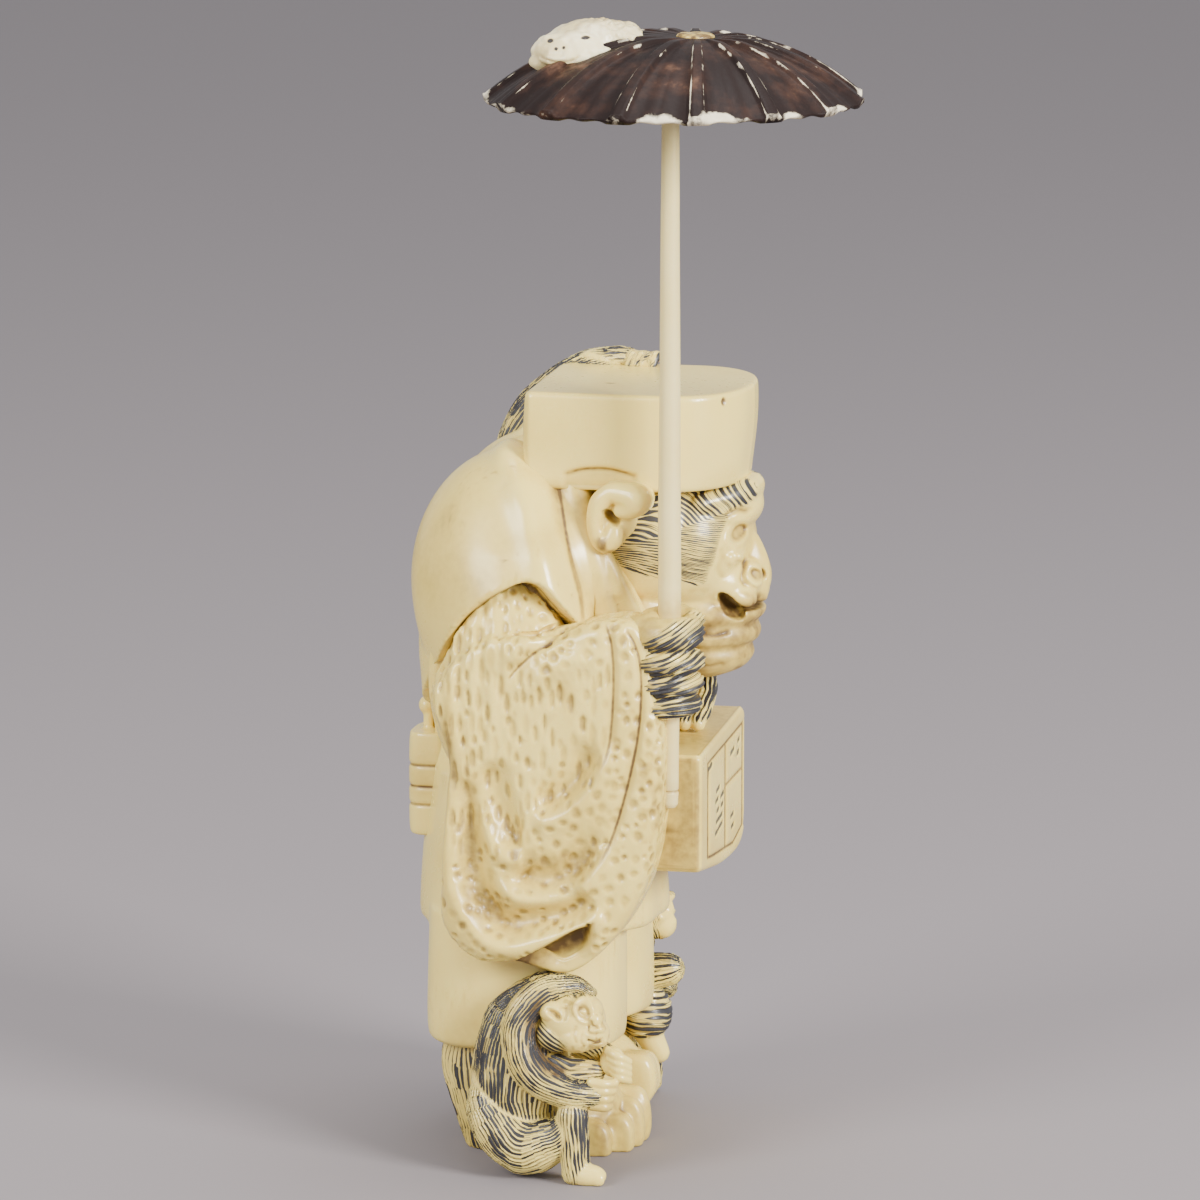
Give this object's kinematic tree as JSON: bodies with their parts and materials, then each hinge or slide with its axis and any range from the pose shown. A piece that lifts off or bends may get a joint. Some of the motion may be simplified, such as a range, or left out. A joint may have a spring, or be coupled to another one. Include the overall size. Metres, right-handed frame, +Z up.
{
  "type": "netsuke",
  "caption": "Carved ivory-coloured netsuke of a robed monkey holding a stained parasol on a thin pole, with a box at its chest and small monkeys at its feet and back.",
  "frame": {"origin": "bottom centre of the whole object's bounding box, on the surface it stands on", "axes": "+Z up along the parasol's pole, +X the way the figure faces, +Y to the figure's left"},
  "size_m": [0.0696, 0.077, 0.1683],
  "materials": {
    "ivory": "polished ivory with honey patina in the creases and ink-filled hair lines; gloss_plastic stands in for ivory",
    "pole_ivory": "turned ivory, softly polished, faint lengthwise grain; gloss_plastic stands in for ivory",
    "stained_ivory": "ivory stained dark brown, worn to cream along the ribs and rim, with an unstained frog; gloss_plastic stands in for ivory"
  },
  "bodies": {
    "root": {"figure": "ivory", "parasol_pole": "pole_ivory", "parasol_canopy": "stained_ivory"}
  },
  "joints": []
}
